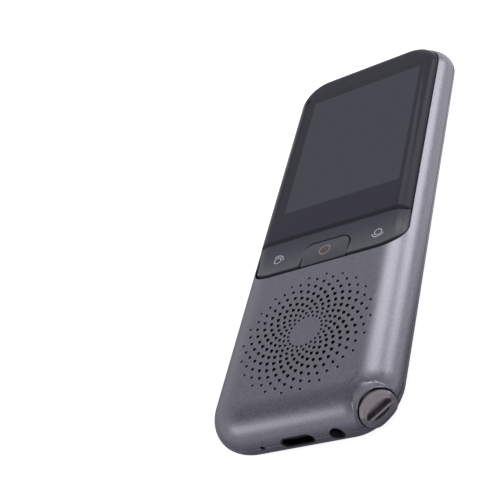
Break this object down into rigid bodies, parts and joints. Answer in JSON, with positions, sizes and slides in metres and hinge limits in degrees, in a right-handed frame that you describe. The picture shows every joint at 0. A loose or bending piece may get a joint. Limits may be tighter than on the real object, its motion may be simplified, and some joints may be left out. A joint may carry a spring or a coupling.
{
  "type": "handheld translator",
  "caption": "Slim handheld translator with a curved glass screen, a rocker key band, a round speaker grille and a lanyard stud in one corner.",
  "frame": {"origin": "middle of the flat back's outline, on the surface that the device lies on", "axes": "+X to the right of the screen, +Y to the top end, +Z out of the back and through the screen"},
  "size_m": [0.0528, 0.138, 0.012],
  "materials": {
    "shell_paint": "metallic paint, satin",
    "cover_glass": "polished",
    "key_gloss": "semi-gloss",
    "black_plastic": "moulded",
    "black_rubber": "moulded",
    "display_dark": "smooth",
    "display_white": "smooth",
    "sheet_steel": "rolled",
    "stud_metal": "polished",
    "socket_metal": "bright",
    "fastener_steel": "blackened",
    "board_green": "solder mask",
    "flex_amber": "polyimide film",
    "chip_black": "moulded",
    "socket_ivory": "moulded",
    "module_blue": "solder mask",
    "ceramic_white": "fired",
    "cell_foil": "laminate foil",
    "foam_pad": "foam",
    "lead_red": "insulated wire",
    "cone_paper": "coated film",
    "magnet_grey": "plated",
    "mesh_cloth": "woven"
  },
  "bodies": {
    "housing": {"front_shell": "shell_paint", "rear_shell": "shell_paint", "cover_glass": "cover_glass", "glass_adhesive": "black_rubber", "touch_panel": "display_dark", "lcd_panel": "display_dark", "backlight": "display_white", "display_tray": "sheet_steel", "display_screws": "fastener_steel", "display_flex": "flex_amber", "rocker_pin": "sheet_steel", "key_frame": "black_plastic", "key_board": "board_green", "key_screws": "fastener_steel", "left_dome": "sheet_steel", "centre_dome": "sheet_steel", "right_dome": "sheet_steel", "key_flex": "flex_amber", "speaker_frame": "black_plastic", "speaker_cone": "cone_paper", "speaker_magnet": "magnet_grey", "speaker_gasket": "black_rubber", "grille_mesh": "mesh_cloth", "speaker_leads": "lead_red", "lanyard_stud": "stud_metal", "lanyard_bar": "stud_metal", "lanyard_screw": "fastener_steel", "usb_shell": "socket_metal", "usb_tongue": "black_plastic", "headphone_jack": "black_plastic", "microphone": "socket_metal", "mic_boot": "black_rubber", "power_switch": "sheet_steel", "main_board": "board_green", "board_screws": "fastener_steel", "processor": "chip_black", "shield_can": "sheet_steel", "wifi_module": "module_blue", "antenna": "ceramic_white", "battery": "cell_foil", "battery_pad": "foam_pad", "battery_leads": "lead_red", "battery_socket": "socket_ivory", "display_socket": "socket_ivory"},
    "rocker": {"rocker_key": "key_gloss"},
    "centre_button": {"centre_key": "key_gloss"},
    "power_cap": {"power_button": "shell_paint"},
    "switch_plunger": {"power_plunger": "socket_ivory"}
  },
  "joints": [
    {"name": "rocker_tilt", "type": "hinge", "parent": "housing", "child": "rocker", "pos_m": [0, -0.0075, 0.00965], "axis": [0, 1, 0], "range_deg": [-1, 1], "stiffness_Nm_per_rad": 0.6, "deforming": ["left_dome", "right_dome"]},
    {"name": "centre_press", "type": "slide", "parent": "housing", "child": "centre_button", "axis": [0, 0, -1], "range_m": [0, 0.0003], "stiffness_N_per_m": 400, "deforming": ["centre_dome"]},
    {"name": "power_press", "type": "slide", "parent": "housing", "child": "power_cap", "axis": [1, 0, 0], "range_m": [0, 0.0003], "stiffness_N_per_m": 300},
    {"name": "plunger_press", "type": "slide", "parent": "housing", "child": "switch_plunger", "axis": [1, 0, 0], "range_m": [0, 0.0003]}
  ],
  "couplings": [
    {"joint": "plunger_press", "follows": "power_press", "ratio": 1}
  ]
}
